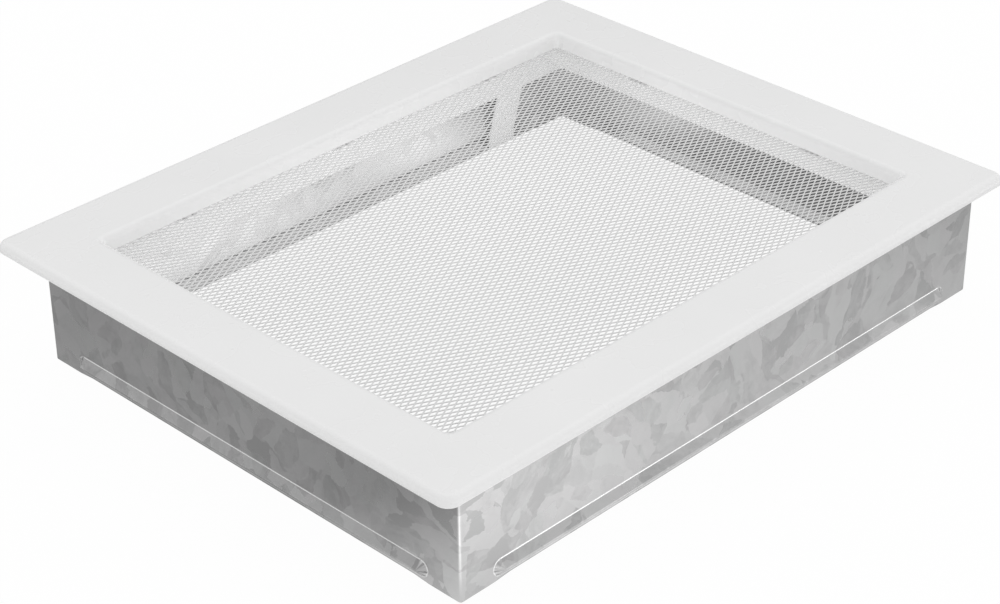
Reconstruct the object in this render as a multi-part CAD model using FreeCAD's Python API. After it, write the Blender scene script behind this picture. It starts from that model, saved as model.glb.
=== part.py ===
"""Fireplace vent grille: a white pressed front with an expanded mesh, sprung into a wall frame.

Millimetres, +Z up. The grille lies as it is stored: the open back of the galvanised wall
frame is on the floor (z = 0) and the white front faces up. The origin is under the middle
of the front. X runs along the long side.
"""
import FreeCAD
import Part
import os
import math
from FreeCAD import Vector

# Front: one pressed sheet with a rolled outer lip and a recessed opening
front_length = 245.0
front_width = 195.0
front_sheet = 0.8
front_corner_radius = 4.2
lip_height = 3.0
lip_radius = 2.6
rim_width = 23.2
recess_depth = 5.2
recess_corner_radius = 1.6
shoulder_radius = 2.2

# Wall frame: one galvanised strip folded round, lap-jointed in one corner
frame_spread = 14.2
frame_depth = 40.6
frame_sheet = 0.7
frame_fold_radius = 0.25
lap_tab_length = 4.7
lap_tab_inset = 1.2
lap_slit = 0.4
front_shift_x = -1.1
front_shift_y = 2.5

# Stiffening bead pressed outwards along the back edge of each side of the wall frame
bead_centre_height = 4.2
bead_half_height = 2.8
bead_rise = 2.2
bead_end_inset = 12.5
edge_draw = 0.5
edge_draw_ramp = 6.0

# Collar: a folded strip under the rim that carries the mesh and the springs
collar_height = 16.3
collar_sheet = 0.8
collar_bend_radius = 1.5
collar_relief = 2.4
flange_clearance = 0.3
flange_end_width = 5.4
flange_side_width = 2.8

# Hooks bent from the collar's flange, which hold the mesh against the recess
hook_width = 8.0
hook_reach = 2.6
hooks_long_side = 3
hooks_short_side = 2

# Expanded mesh: wide diamonds with ridged strands
mesh_sheet = 0.9
mesh_edge_clearance = 0.3
mesh_border_overlap = 0.4
diamonds_along = 6
diamonds_across = 8
strand_width = 3.0
strand_ridge = 1.1

# Leaf springs on the long sides of the collar
spring_width = 12.0
spring_sheet = 0.6
spring_end_inset = 17.3
spring_top_gap = 2.6
spring_bend_gap = 1.0
spring_foot_height = 5.2
spring_floor_gap = 1.2
spring_wall_gap = 0.3
spring_bend_radius = 1.6

# One rivet through each spring and the collar
rivet_shank_radius = 1.6
rivet_head_radius = 3.0
rivet_head_height = 0.8
rivet_height_share = 0.55

# Derived heights and plan sizes
overall_height = frame_depth + front_sheet
rim_underside = overall_height - front_sheet
opening_length = front_length - 2 * rim_width
opening_width = front_width - 2 * rim_width
recess_bottom = overall_height - recess_depth
mesh_top = recess_bottom
mesh_bottom = mesh_top - mesh_sheet
collar_bottom = rim_underside - collar_height
under_shoulder_radius = shoulder_radius - front_sheet
flange_setback = front_sheet + under_shoulder_radius + flange_clearance
flange_opening_length = opening_length + 2 * flange_setback
flange_opening_width = opening_width + 2 * flange_setback
collar_length = flange_opening_length + 2 * flange_end_width
collar_width = flange_opening_width + 2 * flange_side_width
frame_length = opening_length + 2 * frame_spread
frame_width = opening_width + 2 * frame_spread
spring_offset_x = opening_length / 2 - spring_end_inset
frame_bend_radius = frame_fold_radius + frame_sheet
frame_centre = Vector(-front_shift_x, -front_shift_y, 0)
big = 4 * front_length


def rounded_block(length, width, height, radius, base=0.0, centre=Vector(0, 0, 0)):
    """Upright block on z = base, with rounded vertical edges."""
    block = Part.makeBox(length, width, height)
    block.translate(Vector(centre.x - length / 2, centre.y - width / 2, base))
    if radius <= 0:
        return block
    upright = [e for e in block.Edges if abs(e.Vertexes[0].X - e.Vertexes[-1].X) < 1e-6
               and abs(e.Vertexes[0].Y - e.Vertexes[-1].Y) < 1e-6]
    return block.makeFillet(radius, upright)


def edges_at_height(shape, height, inside=None):
    """Level edges of a shape at one height, all of them or those within a half size."""
    found = []
    for edge in shape.Edges:
        box = edge.BoundBox
        if abs(box.ZMin - height) > 1e-4 or abs(box.ZMax - height) > 1e-4:
            continue
        if inside and (max(abs(box.XMin), abs(box.XMax)) > inside[0] + 1e-3
                       or max(abs(box.YMin), abs(box.YMax)) > inside[1] + 1e-3):
            continue
        found.append(edge)
    return found


def prism(points, depth, direction):
    """Solid from a closed outline of points, pushed along a direction."""
    wire = Part.makePolygon(points + [points[0]])
    return Part.Face(wire).extrude(direction * depth)


def front_frame():
    """Flat rim with a rolled outer lip and a recessed opening with a rounded shoulder."""
    lip_bottom = overall_height - lip_height
    outer = rounded_block(front_length, front_width, lip_height, front_corner_radius, lip_bottom)
    outer = outer.makeFillet(lip_radius, edges_at_height(outer, overall_height))
    inner = rounded_block(front_length - 2 * front_sheet, front_width - 2 * front_sheet,
                          lip_height - front_sheet, front_corner_radius - front_sheet, lip_bottom)
    inner = inner.makeFillet(lip_radius - front_sheet, edges_at_height(inner, rim_underside))
    sheet = outer.cut(inner)
    wall_length = opening_length + 2 * front_sheet
    wall_width = opening_width + 2 * front_sheet
    wall = rounded_block(wall_length, wall_width, recess_depth - front_sheet,
                         recess_corner_radius + front_sheet, recess_bottom)
    sheet = sheet.fuse(wall).removeSplitter()
    under_shoulder = edges_at_height(sheet, rim_underside, (wall_length / 2, wall_width / 2))
    sheet = sheet.makeFillet(under_shoulder_radius, under_shoulder)
    sheet = sheet.cut(rounded_block(opening_length, opening_width, big, recess_corner_radius))
    shoulder = edges_at_height(sheet, overall_height, (opening_length / 2, opening_width / 2))
    return sheet.makeFillet(shoulder_radius, shoulder)


def bead_ridge(run):
    """Ridge along X on the plane y = 0, rising to -Y, with half-cone ends."""
    half = run / 2 - bead_half_height
    outline = [Vector(-half, 0, bead_half_height), Vector(-half, -bead_rise, 0),
               Vector(-half, 0, -bead_half_height)]
    ridge = prism(outline, 2 * half, Vector(1, 0, 0))
    for x in (-half, half):
        ridge = ridge.fuse(Part.makeCone(bead_half_height, 0, bead_rise, Vector(x, 0, 0), Vector(0, -1, 0)))
    return ridge


def edge_draw_cut(run):
    """Shallow wedge along X that lifts the sheet's back edge under a bead."""
    half = run / 2
    depth = 4 * frame_sheet
    outline = [Vector(-half, -depth / 2, 0), Vector(half, -depth / 2, 0),
               Vector(half - edge_draw_ramp, -depth / 2, edge_draw),
               Vector(edge_draw_ramp - half, -depth / 2, edge_draw)]
    return prism(outline, depth, Vector(0, 1, 0))


def frame_sides():
    """The four sides of the wall frame: turn about Z, distance of the outer face, length."""
    return [(0, frame_width / 2, frame_length), (90, frame_length / 2, frame_width),
            (180, frame_width / 2, frame_length), (270, frame_length / 2, frame_width)]


def mounting_frame():
    """Galvanised strip folded into a box frame, with a bead on each side and a lap joint."""
    inner_length = frame_length - 2 * frame_sheet
    inner_width = frame_width - 2 * frame_sheet
    outer = rounded_block(frame_length, frame_width, frame_depth, frame_bend_radius)
    inner = rounded_block(inner_length, inner_width, big, frame_fold_radius, -frame_depth)
    strip = outer.cut(inner)
    for turn, distance, length in frame_sides():
        run = length - 2 * bead_end_inset
        ridge = bead_ridge(run)
        ridge.translate(Vector(0, -distance, bead_centre_height))
        groove = ridge.copy()
        groove.translate(Vector(0, frame_sheet, 0))
        draw = edge_draw_cut(run)
        draw.translate(Vector(0, frame_sheet / 2 - distance, 0))
        for tool in (ridge, groove, draw):
            tool.rotate(Vector(0, 0, 0), Vector(0, 0, 1), turn)
        strip = strip.fuse(ridge).cut(groove).cut(draw)
    tab_bottom = bead_centre_height + bead_half_height + lap_tab_inset
    tab_height = frame_depth - lap_tab_inset - tab_bottom
    tab = Part.makeBox(lap_tab_length, frame_sheet, tab_height,
                       Vector(inner_length / 2 - lap_tab_length, inner_width / 2 - frame_sheet, tab_bottom))
    slit = Part.makeBox(lap_slit, 2 * frame_sheet, tab_height - 2 * lap_slit,
                        Vector(inner_length / 2 - 2 * lap_slit, inner_width / 2, tab_bottom + lap_slit))
    strip = strip.fuse(tab).cut(slit)
    strip.translate(frame_centre)
    return strip


def hook(distance):
    """Hook on the side that faces -Y: down from the flange, then in under the mesh."""
    leg_face = distance + collar_sheet
    outline = [Vector(-hook_width / 2, -leg_face, rim_underside),
               Vector(-hook_width / 2, -distance, rim_underside),
               Vector(-hook_width / 2, -distance, mesh_bottom),
               Vector(-hook_width / 2, hook_reach - distance, mesh_bottom),
               Vector(-hook_width / 2, hook_reach - distance, mesh_bottom - collar_sheet),
               Vector(-hook_width / 2, -leg_face, mesh_bottom - collar_sheet)]
    return prism(outline, hook_width, Vector(1, 0, 0))


def spread(count, length):
    """Even places along a side, centred on its middle."""
    return [(i - (count - 1) / 2) * length / count for i in range(count)]


def collar():
    """Folded strip with an inward flange at its top, mesh hooks and relieved corners."""
    outer = rounded_block(collar_length, collar_width, collar_height, collar_bend_radius, collar_bottom)
    inner = rounded_block(collar_length - 2 * collar_sheet, collar_width - 2 * collar_sheet,
                          collar_height - collar_sheet, collar_bend_radius - collar_sheet, collar_bottom)
    flange_hole = rounded_block(flange_opening_length, flange_opening_width, big, recess_corner_radius)
    strip = outer.cut(inner).cut(flange_hole)
    relief_depth = max(collar_length - flange_opening_length, collar_width - flange_opening_width) / 2
    for x in (-1, 1):
        for y in (-1, 1):
            corner = Vector(x * (collar_length / 2 - collar_sheet), y * (collar_width / 2 - collar_sheet), 0)
            relief = Part.makeBox(2 * relief_depth, collar_relief, collar_sheet)
            relief.translate(Vector(-2 * relief_depth, -collar_relief / 2, rim_underside - collar_sheet))
            relief.rotate(Vector(0, 0, 0), Vector(0, 0, 1), math.degrees(math.atan2(y, x)))
            relief.translate(corner)
            strip = strip.cut(relief)
    for turn, distance, length, count in ((0, flange_opening_width / 2, opening_length, hooks_long_side),
                                          (90, flange_opening_length / 2, opening_width, hooks_short_side)):
        for place in spread(count, length):
            for half_turn in (0, 180):
                piece = hook(distance)
                piece.translate(Vector(place, 0, 0))
                piece.rotate(Vector(0, 0, 0), Vector(0, 0, 1), turn + half_turn)
                strip = strip.fuse(piece)
    return strip.removeSplitter()


def diamond(x, y, z, half_long, half_short):
    """Closed diamond outline at a height."""
    corners = [Vector(x - half_long, y, z), Vector(x, y - half_short, z),
               Vector(x + half_long, y, z), Vector(x, y + half_short, z)]
    return Part.makePolygon(corners + [corners[0]])


def mesh_centres():
    """Diamond centres over the opening: a grid and a second grid half a step off."""
    long_pitch = opening_length / diamonds_along
    short_pitch = opening_width / diamonds_across
    centres = []
    for i in range(2 * diamonds_along + 1):
        for j in range(2 * diamonds_across + 1):
            if (i + j) % 2 == 0:
                centres.append((i * long_pitch / 2 - opening_length / 2,
                                j * short_pitch / 2 - opening_width / 2))
    return centres, long_pitch, short_pitch


def mesh_panel():
    """Sheet cut and stretched into diamonds; each strand is a ridge, narrow on top."""
    length = flange_opening_length - 2 * mesh_edge_clearance
    width = flange_opening_width - 2 * mesh_edge_clearance
    panel = rounded_block(length, width, mesh_sheet, 0, mesh_bottom)
    centres, long_pitch, short_pitch = mesh_centres()
    slope = math.hypot(long_pitch, short_pitch)
    base_short = short_pitch / 2 - strand_width * slope / (2 * long_pitch)
    base_long = base_short * long_pitch / short_pitch
    top_short = base_short + (strand_width - strand_ridge) * slope / (2 * long_pitch)
    top_long = top_short * long_pitch / short_pitch
    tools = []
    for x, y in centres:
        low = diamond(x, y, mesh_bottom, base_long, base_short)
        high = diamond(x, y, mesh_top, top_long, top_short)
        tools.append(Part.makeLoft([low, high], True, True))
    inside = rounded_block(opening_length - 2 * mesh_border_overlap, opening_width - 2 * mesh_border_overlap,
                           mesh_sheet, recess_corner_radius, mesh_bottom)
    holes = Part.makeCompound(tools).common(inside)
    return panel.cut(holes)


def strip_profile(points, thickness):
    """Closed outline of a bent strip: one side on the points, the other offset to the left."""
    normals = []
    for a, b in zip(points, points[1:]):
        run = (b - a).normalize()
        normals.append(Vector(0, -run.z, run.y))
    offset = [points[0] + normals[0] * thickness]
    for i, point in enumerate(points[1:-1]):
        middle = (normals[i] + normals[i + 1]).normalize()
        offset.append(point + middle * (thickness / middle.dot(normals[i])))
    offset.append(points[-1] + normals[-1] * thickness)
    return points + offset[::-1]


def leaf_spring(side_y, middle_x):
    """Leaf from the collar's outer face out to the wall frame's inner face."""
    seat = collar_width / 2
    wall = frame_width / 2 - frame_sheet - side_y * front_shift_y
    spring_top = rim_underside - spring_top_gap
    bend = collar_bottom + spring_bend_gap
    foot = wall - spring_wall_gap - spring_sheet
    points = [Vector(0, seat, spring_top), Vector(0, seat, bend),
              Vector(0, foot, spring_foot_height), Vector(0, foot, spring_floor_gap)]
    outline = strip_profile(points, spring_sheet)
    leaf = prism(outline, spring_width, Vector(1, 0, 0))
    inner_bends = [points[1], outline[-3]]
    for sharp in inner_bends:
        edges = [e for e in leaf.Edges if abs(e.CenterOfMass.y - sharp.y) < 1e-4
                 and abs(e.CenterOfMass.z - sharp.z) < 1e-4]
        leaf = leaf.makeFillet(spring_bend_radius, edges)
    leaf.translate(Vector(-spring_width / 2, 0, 0))
    if side_y < 0:
        leaf.rotate(Vector(0, 0, 0), Vector(0, 0, 1), 180)
    leaf.translate(Vector(middle_x, 0, 0))
    return leaf


def rivet_places():
    """Start of each rivet's grip, on the collar's inner face, and its direction outwards."""
    height = collar_bottom + rivet_height_share * collar_height
    grip_start = collar_width / 2 - collar_sheet
    return [(Vector(side_x * spring_offset_x, side_y * grip_start, height), Vector(0, side_y, 0))
            for side_y in (-1, 1) for side_x in (-1, 1)]


def clip_rivets():
    """A rivet through each leaf spring and the collar, with a flat head on both sides."""
    grip = collar_sheet + spring_sheet
    rivets = []
    for base, out in rivet_places():
        shank = Part.makeCylinder(rivet_shank_radius, grip, base, out)
        inner_head = Part.makeCylinder(rivet_head_radius, rivet_head_height, base, out * -1)
        outer_head = Part.makeCylinder(rivet_head_radius, rivet_head_height, base + out * grip, out)
        rivets.append(shank.fuse(inner_head).fuse(outer_head).removeSplitter())
    return rivets


def drill(shape):
    """Clear the rivet shanks' holes through a collar or a spring."""
    for base, out in rivet_places():
        start = base - out * collar_sheet
        shape = shape.cut(Part.makeCylinder(rivet_shank_radius, 4 * collar_sheet, start, out))
    return shape


def build():
    """All pieces by node name."""
    pieces = {
        "mounting_frame": mounting_frame(),
        "front_frame": front_frame(),
        "collar": drill(collar()),
        "mesh_panel": mesh_panel(),
        "clip_rivets": Part.makeCompound(clip_rivets()),
    }
    names = {(-1, -1): "spring_clip_front_left", (1, -1): "spring_clip_front_right",
             (-1, 1): "spring_clip_back_left", (1, 1): "spring_clip_back_right"}
    for (side_x, side_y), name in names.items():
        pieces[name] = drill(leaf_spring(side_y, side_x * spring_offset_x))
    return pieces


os.makedirs("parts", exist_ok=True)
for name, shape in build().items():
    shape.exportStep("parts/" + name + ".step")
    box = shape.BoundBox
    print(name, "solids", len(shape.Solids), "valid", shape.isValid(), "volume", round(shape.Volume, 1),
          [round(v, 2) for v in (box.XMin, box.YMin, box.ZMin, box.XMax, box.YMax, box.ZMax)])
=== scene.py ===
"""Looks of the fireplace vent grille: powder-coated front, expanded mesh, galvanised wall frame.

Metres, in the CAD's own frame. The front, the collar, the springs and the rivets keep their
CAD meshes and get materials. Two pieces are shown by visual stand-ins: a fine expanded mesh
stands for the CAD's coarse one, and the wall frame's own mesh, with a small radius on its
folds and cut edges, stands for the sharp-edged one.
"""

import math

import bmesh
import bpy
import numpy as np
from mathutils import Matrix, Vector


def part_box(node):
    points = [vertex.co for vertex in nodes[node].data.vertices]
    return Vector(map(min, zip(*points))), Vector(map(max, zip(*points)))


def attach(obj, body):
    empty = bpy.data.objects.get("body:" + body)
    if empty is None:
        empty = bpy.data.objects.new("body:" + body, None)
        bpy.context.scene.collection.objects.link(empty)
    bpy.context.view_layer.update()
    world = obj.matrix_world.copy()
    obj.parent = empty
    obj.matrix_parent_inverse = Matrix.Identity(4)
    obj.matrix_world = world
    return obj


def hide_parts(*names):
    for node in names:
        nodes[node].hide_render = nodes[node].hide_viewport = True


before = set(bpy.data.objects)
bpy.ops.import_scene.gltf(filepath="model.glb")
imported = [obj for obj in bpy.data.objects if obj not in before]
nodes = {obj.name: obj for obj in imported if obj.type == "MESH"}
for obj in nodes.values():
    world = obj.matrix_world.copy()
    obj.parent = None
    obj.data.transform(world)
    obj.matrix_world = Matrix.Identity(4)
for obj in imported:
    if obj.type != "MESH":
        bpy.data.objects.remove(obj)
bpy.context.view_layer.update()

# Camera, fitted to the photograph's edges: angles in degrees
CAMERA_AZIMUTH = -45.236
CAMERA_ELEVATION = 31.152
CAMERA_ROLL = -0.517
CAMERA_DISTANCE = 0.82498
CAMERA_TARGET = (0.00602, 0.01067, 0.0)
CAMERA_NEAR = 0.01
CAMERA_FAR = 50
FOCAL_PIXELS = 2591.17
IMAGE_WIDTH = 1000
SENSOR_WIDTH = 36.0

# Expanded mesh: long way along X, short way along Y, tilt in degrees
MESH_LONG_WAY = 0.00379
MESH_SHORT_WAY = 0.00205
STRAND_WIDTH = 0.00037
STRAND_THICKNESS = 0.00025
STRAND_TILT = 6.0
BOND_OVERLAP = 0.00019
MESH_MARGIN = 0.0002

# Wall frame: its middle, its half sizes, and the inner faces of its sides
FRAME_MIDDLE = (0.0011, -0.0025)
FRAME_HALF_LENGTH = 0.1135
FRAME_HALF_WIDTH = 0.0885
INNER_HALF_X = 0.1128
INNER_HALF_Y = 0.0878
END_SIDE_MARGIN = 0.001

# Beads: the tips of their ends from the wall frame's middle, the wrinkles pressed in there,
# and the half width of the painted highlight along their folds
BEAD_TIP_X = 0.0982
BEAD_TIP_Y = 0.0732
BEAD_TIP_Z = 0.0042
BEAD_RADIUS = 0.0028
WRINKLES = 9.0
WRINKLE_PHASE = 0.9
WRINKLE_HEIGHT = 0.00018
FOLD_HIGHLIGHT_REACH = 0.00018

# Folds of the wall frame's sheet: angles in degrees, and the box round the lap joint, whose
# edges stay sharp
MERGE_DISTANCE = 0.00001
FLAT_ANGLE = 1.0
FOLD_ANGLE = 25.0
FOLD_BEVEL = 0.00030
FOLD_SEGMENTS = 4
LAP_JOINT = ((0.1085, 0.0840, 0.0070), (0.1150, 0.0870, 0.0400))

# Powder coat: scales of its noises per metre, spread of tone and gloss, heights of its bumps
COAT_PATCH_SCALE = 22
COAT_GLOSS_SCALE = 60
COAT_PEEL_SCALE = 420
COAT_GRIT_SCALE = 1500
COAT_DARKEST = 0.985
COAT_LIGHTEST = 1.01
COAT_GLOSS_SPREAD = 0.12
COAT_PEEL_HEIGHT = 0.00003
COAT_GRIT_HEIGHT = 0.00001
COAT_IOR = 1.5

# Zinc: scales of its cells and noises per metre
BEND_SCALE = 60
FEATHER_SCALE = 520
GRAIN_SCALE = 48
LEAF_SCALE = 190
CHIP_SCALE = 330
NEEDLE_SCALE = 620
CLOUD_SCALE = 110
PIT_SCALE = 900

# Zinc: how far its edges wander, how much its crystals are drawn out, and each part's share
BEND_REACH = 0.010
FEATHER_REACH = 0.0020
LEAF_STRETCH = 0.70
NEEDLE_STRETCH = 0.90
LEAF_SHARE = 0.40
GRAIN_SHARE = 0.22
CHIP_SHARE = 0.10
NEEDLE_SHARE = 0.22
CLOUD_SHARE = 0.34

# Zinc: tone by shade, tints, the painted highlight on the bead folds, gloss and heights of its
# bumps
ZINC_TONES = [(0.42, 0.80), (0.56, 0.93), (0.66, 1.0), (0.90, 1.06)]
ZINC_TINTS = ((0.608, 0.611, 0.610, 1), (0.613, 0.608, 0.611, 1))
# Colour of the painted highlight along the bead folds
FOLD_HIGHLIGHT_ZINC = (0.88, 0.88, 0.88, 1)
ZINC_ROUGHNESS = 0.20
ZINC_ROUGHNESS_SPREAD = 0.08
ZINC_STEP_HEIGHT = 0.00005
ZINC_PIT_HEIGHT = 0.00001

# Surroundings above the floor: even level, and soft areas that change it. Each area has its
# azimuth from -Y towards +X, elevation, half width and half height in degrees, and change.
EVEN_LEVEL = 0.84
LOWEST_LEVEL = 0.02
LIGHT_MAP_SIZE = 512
AREAS = [
    (0, 90, 45, 45, -0.05),
    (135, 60, 40, 22, 0.60),
    (-133, 28, 26, 14, -0.52),
    (46, 28, 20, 14, -0.24),
    (36, 1, 26, 6, 1.70),
    (-100, 2, 36, 8, 0.40),
    (139, 17, 18, 9, -0.80),
]

# Floor as the metal mirrors it, outside and inside the wall frame: even level, and soft
# patches with their centre, half sizes and change. These are painted reflections: brighter and
# darker patches that the zinc mirrors, and a low level inside the wall frame as painted shade.
FLOOR_LEVEL = 0.72
PATCHES = [
    (-0.15, 0.00, 0.10, 0.25, -0.34),
    (-0.14, -0.04, 0.03, 0.03, -0.13),
    (-0.14, 0.02, 0.03, 0.03, 0.02),
    (-0.14, 0.11, 0.03, 0.04, -0.06),
    (-0.11, -0.17, 0.10, 0.09, 0.90),
    (0.21, -0.12, 0.07, 0.07, -0.28),
    (-0.13, -0.11, 0.014, 0.014, 0.80),
    (-0.165, -0.145, 0.030, 0.030, 1.40),
]
# Painted shade: the floor inside the wall frame, as the metal mirrors it, is this dark
INNER_PAINTED_SHADE_LEVEL = 0.18
INNER_PATCHES = [
    (-0.085, 0.0620, 0.050, 0.018, 1.10),
    (-0.010, 0.0620, 0.050, 0.018, 1.34),
    (0.064, 0.0620, 0.026, 0.018, 1.32),
]

# Floor as a thing: size, place, colour, and how much of the camera's view of it is plain white
FLOOR_HALF_SIZE = 6.0
FLOOR_Z = -0.0002
FLOOR_COLOUR = 0.97
FLOOR_CAMERA_SHARE = 0.97

# Fill light on the floor inside the wall frame: half sizes, height and power in watts
FILL_HALF_X = 0.105
FILL_HALF_Y = 0.080
FILL_Z = 0.0004
FILL_POWER = 0.052

AXIS_X = (1, 0, 0)
AXIS_Y = (0, 1, 0)


def empty_tree(material):
    """The material's node tree, with nothing in it."""
    material.use_nodes = True
    material.node_tree.nodes.clear()
    return material.node_tree


def new_material(name):
    """Material with its tree and its Principled shader."""
    material = bpy.data.materials.new(name)
    tree = empty_tree(material)
    shader = tree.nodes.new("ShaderNodeBsdfPrincipled")
    output = tree.nodes.new("ShaderNodeOutputMaterial")
    tree.links.new(shader.outputs["BSDF"], output.inputs["Surface"])
    return material, tree, shader


def connect(tree, value, socket):
    """Link a socket, or set a number or a vector as its default."""
    if isinstance(value, bpy.types.NodeSocket):
        tree.links.new(value, socket)
    else:
        socket.default_value = value


def maths(tree, operation, a, b=0.0):
    """Result of a Math node on two sockets or numbers."""
    made = tree.nodes.new("ShaderNodeMath")
    made.operation = operation
    connect(tree, a, made.inputs[0])
    connect(tree, b, made.inputs[1])
    return made.outputs[0]


def vector_maths(tree, operation, a, b=None, scale=None):
    """Result of a Vector Math node."""
    made = tree.nodes.new("ShaderNodeVectorMath")
    made.operation = operation
    connect(tree, a, made.inputs[0])
    if b is not None:
        connect(tree, b, made.inputs[1])
    if scale is not None:
        connect(tree, scale, made.inputs["Scale"])
    return made.outputs["Value" if operation == "DOT_PRODUCT" else "Vector"]


def position(tree):
    """The point on the piece, in metres of its own frame."""
    return tree.nodes.new("ShaderNodeTexCoord").outputs["Object"]


def noise(tree, where, scale, detail=2.0, roughness=0.5, colour=False):
    """Noise texture's value or colour."""
    made = tree.nodes.new("ShaderNodeTexNoise")
    connect(tree, where, made.inputs["Vector"])
    made.inputs["Scale"].default_value = scale
    made.inputs["Detail"].default_value = detail
    made.inputs["Roughness"].default_value = roughness
    return made.outputs["Color" if colour else "Fac"]


def cells(tree, where, scale):
    """Voronoi cells' colours, as a vector and split into three numbers."""
    made = tree.nodes.new("ShaderNodeTexVoronoi")
    connect(tree, where, made.inputs["Vector"])
    made.inputs["Scale"].default_value = scale
    split = tree.nodes.new("ShaderNodeSeparateColor")
    tree.links.new(made.outputs["Color"], split.inputs["Color"])
    return made.outputs["Color"], [split.outputs[i] for i in range(3)]


def ramp(tree, value, stops):
    """Colour ramp with (place, grey) stops."""
    made = tree.nodes.new("ShaderNodeValToRGB")
    tree.links.new(value, made.inputs["Fac"])
    elements = made.color_ramp.elements
    while len(elements) < len(stops):
        elements.new(0.5)
    for element, (place, grey) in zip(elements, stops):
        element.position = place
        element.color = (grey, grey, grey, 1.0)
    return made.outputs["Color"]


def mixed(tree, factor, a, b, blend="MIX"):
    """Colour mix of two sockets or colours."""
    made = tree.nodes.new("ShaderNodeMix")
    made.data_type = "RGBA"
    made.blend_type = blend
    connect(tree, factor, made.inputs[0])
    connect(tree, a, made.inputs[6])
    connect(tree, b, made.inputs[7])
    return made.outputs[2]


def bump(tree, shader, height, distance, strength=1.0, after=None):
    """Bump from a height socket, on top of an earlier one."""
    made = tree.nodes.new("ShaderNodeBump")
    tree.links.new(height, made.inputs["Height"])
    made.inputs["Strength"].default_value = strength
    made.inputs["Distance"].default_value = distance
    if after is not None:
        tree.links.new(after, made.inputs["Normal"])
    tree.links.new(made.outputs["Normal"], shader.inputs["Normal"])
    return made.outputs["Normal"]


def sum_of_squares(tree, a, b):
    """Sum of the squares of two sockets."""
    return maths(tree, "ADD", maths(tree, "MULTIPLY", a, a), maths(tree, "MULTIPLY", b, b))


def soft_spot(tree, offsets, halves):
    """One in the middle of a spot, fading out beyond its half sizes."""
    scaled = [maths(tree, "DIVIDE", offset, half) for offset, half in zip(offsets, halves)]
    away = maths(tree, "MULTIPLY", sum_of_squares(tree, *scaled), -1.0)
    return maths(tree, "EXPONENT", away)


def powder_coat(name, base, roughness):
    """White satin powder coat with a fine orange peel and faint patches."""
    material, tree, shader = new_material(name)
    where = position(tree)
    patches = noise(tree, where, COAT_PATCH_SCALE, detail=3, roughness=0.55)
    tone = ramp(tree, patches, [(0.3, base * COAT_DARKEST), (0.7, base * COAT_LIGHTEST)])
    tree.links.new(tone, shader.inputs["Base Color"])
    gloss = noise(tree, where, COAT_GLOSS_SCALE, detail=3)
    uneven = maths(tree, "MULTIPLY", gloss, COAT_GLOSS_SPREAD)
    dull = maths(tree, "ADD", uneven, roughness - COAT_GLOSS_SPREAD / 2)
    tree.links.new(dull, shader.inputs["Roughness"])
    peel = noise(tree, where, COAT_PEEL_SCALE)
    grit = noise(tree, where, COAT_GRIT_SCALE)
    peeled = bump(tree, shader, peel, COAT_PEEL_HEIGHT, strength=0.30)
    bump(tree, shader, grit, COAT_GRIT_HEIGHT, strength=0.25, after=peeled)
    shader.inputs["IOR"].default_value = COAT_IOR
    return material


def bead_place(tree):
    """Place on the wall frame's sides: past a bead end's tip, up from its middle, and out."""
    split = tree.nodes.new("ShaderNodeSeparateXYZ")
    tree.links.new(position(tree), split.inputs[0])
    x = maths(tree, "ABSOLUTE", maths(tree, "SUBTRACT", split.outputs[0], FRAME_MIDDLE[0]))
    y = maths(tree, "ABSOLUTE", maths(tree, "SUBTRACT", split.outputs[1], FRAME_MIDDLE[1]))
    on_end = maths(tree, "GREATER_THAN", x, FRAME_HALF_LENGTH - END_SIDE_MARGIN)
    past_x = maths(tree, "SUBTRACT", x, BEAD_TIP_X)
    past_y = maths(tree, "SUBTRACT", y, BEAD_TIP_Y)
    difference = maths(tree, "SUBTRACT", past_y, past_x)
    past = maths(tree, "ADD", past_x, maths(tree, "MULTIPLY", on_end, difference))
    out = maths(tree, "MAXIMUM", maths(tree, "SUBTRACT", x, FRAME_HALF_LENGTH),
                maths(tree, "SUBTRACT", y, FRAME_HALF_WIDTH))
    return past, maths(tree, "SUBTRACT", split.outputs[2], BEAD_TIP_Z), out


def bead_wrinkles(tree, past, up):
    """Height of the wrinkles that fan out from the tips of the bead ends."""
    turn = maths(tree, "ARCTAN2", up, past)
    reach = maths(tree, "SQRT", sum_of_squares(tree, up, past))
    turns = maths(tree, "ADD", maths(tree, "MULTIPLY", turn, WRINKLES), WRINKLE_PHASE)
    inside = maths(tree, "MULTIPLY", maths(tree, "GREATER_THAN", past, 0.0),
                   maths(tree, "LESS_THAN", reach, BEAD_RADIUS))
    share = maths(tree, "MULTIPLY", maths(tree, "DIVIDE", reach, BEAD_RADIUS), inside)
    return maths(tree, "MULTIPLY", maths(tree, "SINE", turns), share)


def bead_fold_highlight(tree, past, up, out):
    """One in a thin band on the outer side of the fold round each bead: a painted highlight."""
    beyond = maths(tree, "MAXIMUM", past, 0.0)
    reach = maths(tree, "SQRT", sum_of_squares(tree, up, beyond))
    from_fold = maths(tree, "ABSOLUTE", maths(tree, "SUBTRACT", reach, BEAD_RADIUS))
    outer = maths(tree, "GREATER_THAN", out, -FOLD_HIGHLIGHT_REACH)
    return maths(tree, "MULTIPLY", maths(tree, "LESS_THAN", from_fold, FOLD_HIGHLIGHT_REACH), outer)


def wander(tree, where, reach, scale, detail, roughness):
    """Shift of a point by noise, half the reach each way at most."""
    cloud = noise(tree, where, scale, detail, roughness, colour=True)
    centred = vector_maths(tree, "SUBTRACT", cloud, (0.5, 0.5, 0.5))
    return vector_maths(tree, "SCALE", centred, scale=reach)


def drawn_out(tree, point, lie, along, stretch):
    """Point for a texture whose cells are drawn out along their grain's direction."""
    shrink = vector_maths(tree, "SCALE", lie, scale=maths(tree, "MULTIPLY", along, stretch))
    return vector_maths(tree, "SUBTRACT", point, shrink)


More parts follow.
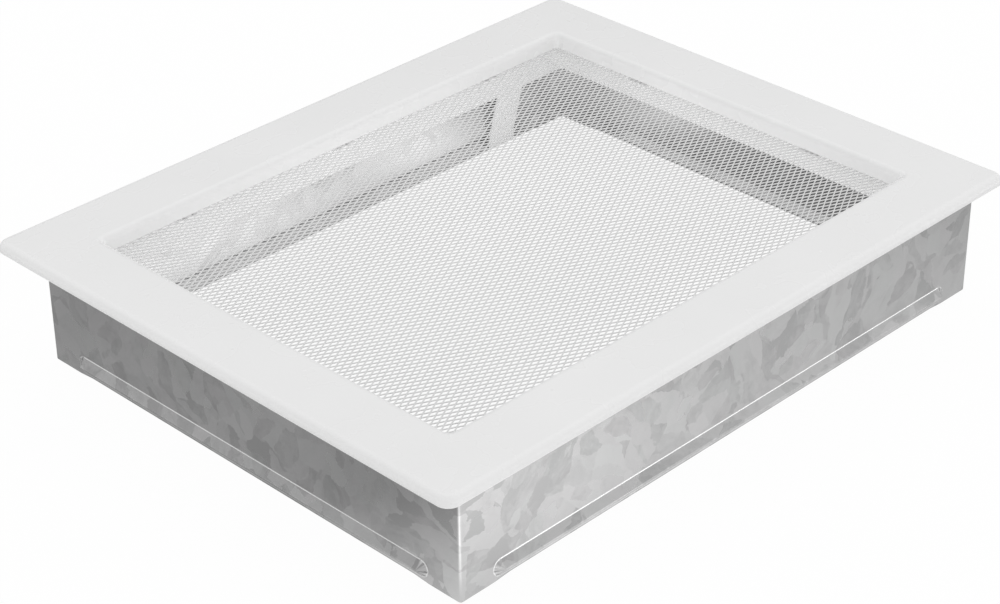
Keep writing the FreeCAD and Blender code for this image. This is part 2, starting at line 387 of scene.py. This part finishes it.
def galvanised(name):
    """Hot-dip zinc: grains a finger wide, each filled with feathered crystals that lie one way."""
    material, tree, shader = new_material(name)
    where = position(tree)
    bend = wander(tree, where, BEND_REACH, BEND_SCALE, detail=2, roughness=0.5)
    feather = wander(tree, where, FEATHER_REACH, FEATHER_SCALE, detail=3, roughness=0.7)
    curved = vector_maths(tree, "ADD", where, bend)
    ragged = vector_maths(tree, "ADD", curved, feather)
    grain, grain_parts = cells(tree, ragged, GRAIN_SCALE)
    centred = vector_maths(tree, "SUBTRACT", grain, (0.5, 0.5, 0.5))
    lie = vector_maths(tree, "NORMALIZE", centred)
    along = vector_maths(tree, "DOT_PRODUCT", ragged, lie)
    _, leaf_parts = cells(tree, drawn_out(tree, ragged, lie, along, LEAF_STRETCH), LEAF_SCALE)
    _, chip_parts = cells(tree, ragged, CHIP_SCALE)
    thin = drawn_out(tree, curved, lie, along, NEEDLE_STRETCH)
    needles = noise(tree, thin, NEEDLE_SCALE, detail=3, roughness=0.6)
    cloud = noise(tree, where, CLOUD_SCALE, detail=4, roughness=0.6)

    shade = maths(tree, "MULTIPLY", leaf_parts[0], LEAF_SHARE)
    for part, share in ((grain_parts[1], GRAIN_SHARE), (chip_parts[0], CHIP_SHARE),
                        (needles, NEEDLE_SHARE), (cloud, CLOUD_SHARE)):
        shade = maths(tree, "ADD", shade, maths(tree, "MULTIPLY", part, share))
    tint = mixed(tree, leaf_parts[1], *ZINC_TINTS)
    spangle = mixed(tree, 1.0, tint, ramp(tree, shade, ZINC_TONES), "MULTIPLY")
    past, up, out = bead_place(tree)
    # Painted highlight: lighter zinc in a thin band along the folds round the beads.
    colour = mixed(tree, bead_fold_highlight(tree, past, up, out), spangle, FOLD_HIGHLIGHT_ZINC)
    tree.links.new(colour, shader.inputs["Base Color"])
    shader.inputs["Metallic"].default_value = 1.0
    dull = maths(tree, "MULTIPLY", leaf_parts[2], ZINC_ROUGHNESS_SPREAD)
    tree.links.new(maths(tree, "ADD", dull, ZINC_ROUGHNESS), shader.inputs["Roughness"])

    folds = bump(tree, shader, bead_wrinkles(tree, past, up), WRINKLE_HEIGHT)
    steps = bump(tree, shader, shade, ZINC_STEP_HEIGHT, strength=0.30, after=folds)
    pits = noise(tree, where, PIT_SCALE, detail=3, roughness=0.6)
    bump(tree, shader, pits, ZINC_PIT_HEIGHT, strength=0.35, after=steps)
    return material


def assign(obj, material):
    """The piece's only material."""
    obj.data.materials.clear()
    obj.data.materials.append(material)


def in_box(point, box):
    """Whether the point is inside the box of a low and a high corner."""
    return all(low < at < high for low, at, high in zip(box[0], point, box[1]))


def folded_frame(material):
    """The wall frame's own form, with a small radius on its folds and cut edges."""
    shape = bmesh.new()
    shape.from_mesh(nodes["mounting_frame"].data)
    bmesh.ops.remove_doubles(shape, verts=shape.verts, dist=MERGE_DISTANCE)
    bmesh.ops.dissolve_limit(shape, angle_limit=math.radians(FLAT_ANGLE),
                             verts=shape.verts, edges=shape.edges)
    for face in shape.faces:
        face.smooth = True
    folds = shape.edges.layers.float.new("bevel_weight_edge")
    for edge in shape.edges:
        folded = edge.calc_face_angle(0.0) > math.radians(FOLD_ANGLE)
        in_lap = all(in_box(end.co, LAP_JOINT) for end in edge.verts)
        edge.smooth = not (folded and in_lap)
        edge[folds] = float(folded and not in_lap)
    mesh = bpy.data.meshes.new("folded_frame")
    shape.to_mesh(mesh)
    shape.free()
    piece = bpy.data.objects.new("folded_frame", mesh)
    bpy.context.scene.collection.objects.link(piece)
    bevel = piece.modifiers.new("folds", "BEVEL")
    bevel.width = FOLD_BEVEL
    bevel.segments = FOLD_SEGMENTS
    bevel.limit_method = "WEIGHT"
    bevel.use_clamp_overlap = False
    flat = piece.modifiers.new("flat_sides", "WEIGHTED_NORMAL")
    flat.mode = "FACE_AREA"
    flat.keep_sharp = True
    assign(piece, material)
    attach(piece, "wall_frame")
    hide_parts("mounting_frame")


def expanded_mesh(material):
    """Zigzag strands, bonded where they meet, each a tilted flat bar, within the panel's box."""
    low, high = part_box("mesh_panel")
    half_x = (high.x - low.x) / 2 - MESH_MARGIN
    half_y = (high.y - low.y) / 2 - MESH_MARGIN
    step_x = MESH_LONG_WAY / 2
    step_y = MESH_SHORT_WAY / 2
    columns = int(2 * half_x / step_x)
    rows = int(2 * half_y / step_y)
    xs = (np.arange(columns + 1) - columns / 2) * step_x
    rise = step_y - STRAND_WIDTH + BOND_OVERLAP
    tilt = math.radians(STRAND_TILT)
    across = np.array([0.0, math.cos(tilt), math.sin(tilt)]) * STRAND_WIDTH / 2
    through = np.array([0.0, -math.sin(tilt), math.cos(tilt)]) * STRAND_THICKNESS / 2
    corners = np.array([-across - through, across - through, across + through, -across + through])
    middle_z = high.z - corners[:, 2].max()
    count = columns + 1
    vertices, faces = [], []
    for row in range(rows):
        base_y = (row - rows / 2 + 0.5) * step_y
        up = (np.arange(count) + row) % 2
        ys = base_y + (up - 0.5) * rise
        centre = np.stack([xs, ys, np.full(count, middle_z)], 1)
        ring = centre[:, None, :] + corners[None, :, :]
        start = len(vertices) * count * 4
        vertices.append(ring.reshape(-1, 3))
        for i in range(columns):
            a = start + 4 * i
            for k in range(4):
                n = (k + 1) % 4
                faces.append((a + k, a + n, a + 4 + n, a + 4 + k))
        faces.append((start + 3, start + 2, start + 1, start))
        last = start + 4 * columns
        faces.append((last, last + 1, last + 2, last + 3))
    mesh = bpy.data.meshes.new("expanded_mesh")
    mesh.from_pydata(np.concatenate(vertices).tolist(), [], faces)
    mesh.update()
    piece = bpy.data.objects.new("expanded_mesh", mesh)
    bpy.context.scene.collection.objects.link(piece)
    assign(piece, material)
    piece.visible_diffuse = False
    piece.visible_shadow = False
    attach(piece, "front")
    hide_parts("mesh_panel")


def with_patches(tree, where, level, patches):
    """Level of the floor, changed by its soft patches."""
    for x, y, half_x, half_y, change in patches:
        offsets = [maths(tree, "SUBTRACT", vector_maths(tree, "DOT_PRODUCT", where, axis), middle)
                   for axis, middle in ((AXIS_X, x), (AXIS_Y, y))]
        spot = soft_spot(tree, offsets, (half_x, half_y))
        level = maths(tree, "ADD", level, maths(tree, "MULTIPLY", spot, change))
    return level


def painted_reflection_level(tree):
    """How bright the metal sees each point of the floor: painted reflection levels, darker inside
    the wall frame as painted shade.
    """
    where = position(tree)
    outside = with_patches(tree, where, FLOOR_LEVEL, PATCHES)
    inside = with_patches(tree, where, INNER_PAINTED_SHADE_LEVEL, INNER_PATCHES)
    from_middle = vector_maths(tree, "SUBTRACT", where, (*FRAME_MIDDLE, 0))
    within = 1.0
    for axis, half in ((AXIS_X, INNER_HALF_X), (AXIS_Y, INNER_HALF_Y)):
        offset = maths(tree, "ABSOLUTE", vector_maths(tree, "DOT_PRODUCT", from_middle, axis))
        within = maths(tree, "MULTIPLY", maths(tree, "LESS_THAN", offset, half), within)
    difference = maths(tree, "SUBTRACT", inside, outside)
    return maths(tree, "ADD", outside, maths(tree, "MULTIPLY", within, difference))


def mixed_shaders(tree, factor, first, second):
    """Mix Shader node's result."""
    made = tree.nodes.new("ShaderNodeMixShader")
    for value, socket in zip((factor, first, second), made.inputs):
        tree.links.new(value, socket)
    return made.outputs[0]


def floor_material():
    """Pale floor, near white for the camera, with painted reflection levels that only the metal
    sees, clear from below.
    """
    material = bpy.data.materials.new("floor")
    tree = empty_tree(material)
    diffuse = tree.nodes.new("ShaderNodeBsdfDiffuse")
    diffuse.inputs["Color"].default_value = (FLOOR_COLOUR, FLOOR_COLOUR, FLOOR_COLOUR, 1)
    path = tree.nodes.new("ShaderNodeLightPath")
    for_camera, for_gloss = path.outputs["Is Camera Ray"], path.outputs["Is Glossy Ray"]
    not_camera = maths(tree, "SUBTRACT", 1.0, for_camera)
    mirrored = maths(tree, "MULTIPLY", painted_reflection_level(tree), not_camera)
    glow = tree.nodes.new("ShaderNodeEmission")
    tree.links.new(maths(tree, "MAXIMUM", mirrored, for_camera), glow.inputs["Strength"])
    camera_share = maths(tree, "MULTIPLY", for_camera, FLOOR_CAMERA_SHARE)
    # Glossy rays see only the painted levels: painted reflections on the metal
    glow_share = maths(tree, "MAXIMUM", camera_share, for_gloss)
    from_above = mixed_shaders(tree, glow_share, diffuse.outputs[0], glow.outputs[0])
    side = tree.nodes.new("ShaderNodeNewGeometry")
    clear = tree.nodes.new("ShaderNodeBsdfTransparent")
    surface = mixed_shaders(tree, side.outputs["Backfacing"], from_above, clear.outputs[0])
    output = tree.nodes.new("ShaderNodeOutputMaterial")
    tree.links.new(surface, output.inputs["Surface"])
    return material


def backdrop():
    """Floor that the wall frame's back edge lies on."""
    mesh = bpy.data.meshes.new("floor")
    corners = [(-1, -1), (1, -1), (1, 1), (-1, 1)]
    mesh.from_pydata([(x * FLOOR_HALF_SIZE, y * FLOOR_HALF_SIZE, 0) for x, y in corners],
                     [], [(0, 1, 2, 3)])
    floor = bpy.data.objects.new("floor", mesh)
    floor.location.z = FLOOR_Z
    bpy.context.scene.collection.objects.link(floor)
    assign(floor, floor_material())


def heading(azimuth, elevation):
    """Unit vector at an azimuth from -Y towards +X and an elevation, both in degrees."""
    a, e = math.radians(azimuth), math.radians(elevation)
    return Vector((math.sin(a) * math.cos(e), -math.cos(a) * math.cos(e), math.sin(e)))


def soft_area(tree, direction, azimuth, elevation, half_width, half_height, change):
    """Change of level that fades out from the middle of an area of the surroundings."""
    centre = heading(azimuth, elevation)
    side = heading(azimuth + 90, 0)
    above = side.cross(centre)
    sideways, upwards, ahead = (vector_maths(tree, "DOT_PRODUCT", direction, tuple(axis))
                                for axis in (side, above, centre))
    halves = [math.sin(math.radians(half)) for half in (half_width, half_height)]
    spot = soft_spot(tree, (sideways, upwards), halves)
    in_front = maths(tree, "GREATER_THAN", ahead, 0.0)
    return maths(tree, "MULTIPLY", maths(tree, "MULTIPLY", spot, in_front), change)


def studio_light():
    """Pale surroundings, brighter or darker in soft areas; white where the camera sees them."""
    world = bpy.data.worlds.new("studio")
    bpy.context.scene.world = world
    world.use_nodes = True
    tree = world.node_tree
    tree.nodes.clear()
    direction = tree.nodes.new("ShaderNodeTexCoord").outputs["Generated"]
    level = EVEN_LEVEL
    for area in AREAS:
        level = maths(tree, "ADD", level, soft_area(tree, direction, *area))
    level = maths(tree, "MAXIMUM", level, LOWEST_LEVEL)
    path = tree.nodes.new("ShaderNodeLightPath")
    seen = tree.nodes.new("ShaderNodeMix")
    connect(tree, path.outputs["Is Camera Ray"], seen.inputs[0])
    connect(tree, level, seen.inputs[2])
    seen.inputs[3].default_value = 1.0
    background = tree.nodes.new("ShaderNodeBackground")
    background.inputs["Color"].default_value = (1, 1, 1, 1)
    tree.links.new(seen.outputs[0], background.inputs["Strength"])
    output = tree.nodes.new("ShaderNodeOutputWorld")
    tree.links.new(background.outputs[0], output.inputs["Surface"])
    world.cycles.sampling_method = "MANUAL"
    world.cycles.sample_map_resolution = LIGHT_MAP_SIZE


def floor_fill():
    """Soft light that the floor inside the wall frame throws up on the collar and the springs."""
    data = bpy.data.lights.new("floor_fill", "AREA")
    data.shape = "RECTANGLE"
    data.size = 2 * FILL_HALF_X
    data.size_y = 2 * FILL_HALF_Y
    data.energy = FILL_POWER
    fill = bpy.data.objects.new("floor_fill", data)
    fill.location = (*FRAME_MIDDLE, FILL_Z)
    fill.rotation_euler.x = math.pi
    fill.visible_camera = False
    fill.visible_glossy = False
    bpy.context.scene.collection.objects.link(fill)


def camera():
    """Camera at the photograph's place and angle."""
    roll = math.radians(CAMERA_ROLL)
    back = heading(CAMERA_AZIMUTH, CAMERA_ELEVATION)
    right = (-back).cross(Vector((0, 0, 1))).normalized()
    up = right.cross(-back)
    turned_right = right * math.cos(roll) + up * math.sin(roll)
    turned_up = up * math.cos(roll) - right * math.sin(roll)
    data = bpy.data.cameras.new("camera")
    data.sensor_width = SENSOR_WIDTH
    data.lens = FOCAL_PIXELS / IMAGE_WIDTH * SENSOR_WIDTH
    data.clip_start = CAMERA_NEAR
    data.clip_end = CAMERA_FAR
    view = bpy.data.objects.new("camera", data)
    matrix = Matrix((turned_right, turned_up, back)).transposed().to_4x4()
    matrix.translation = Vector(CAMERA_TARGET) + back * CAMERA_DISTANCE
    view.matrix_world = matrix
    bpy.context.scene.collection.objects.link(view)
    bpy.context.scene.camera = view


white = powder_coat("white_powder_coat", base=0.89, roughness=0.27)
# Same white coat as the front, painted lighter: the higher base stands in for light on the collar,
# the springs and the rivets inside
inner_painted_light_coat = powder_coat("white_powder_coat_painted_lighter", base=0.98, roughness=0.40)
# The mesh has the same white coat; its lower base is painted shade, standing in for the shade on
# and between the strands
white_mesh = powder_coat("white_mesh", base=0.73, roughness=0.42)
zinc = galvanised("galvanised_steel")
for name in ("collar", "clip_rivets", "spring_clip_front_left", "spring_clip_front_right",
             "spring_clip_back_left", "spring_clip_back_right"):
    assign(nodes[name], inner_painted_light_coat)
assign(nodes["front_frame"], white)
assign(nodes["mesh_panel"], white_mesh)
assign(nodes["mounting_frame"], zinc)
folded_frame(zinc)
expanded_mesh(white_mesh)
backdrop()
studio_light()
floor_fill()
camera()
bpy.context.scene.view_settings.view_transform = "Standard"
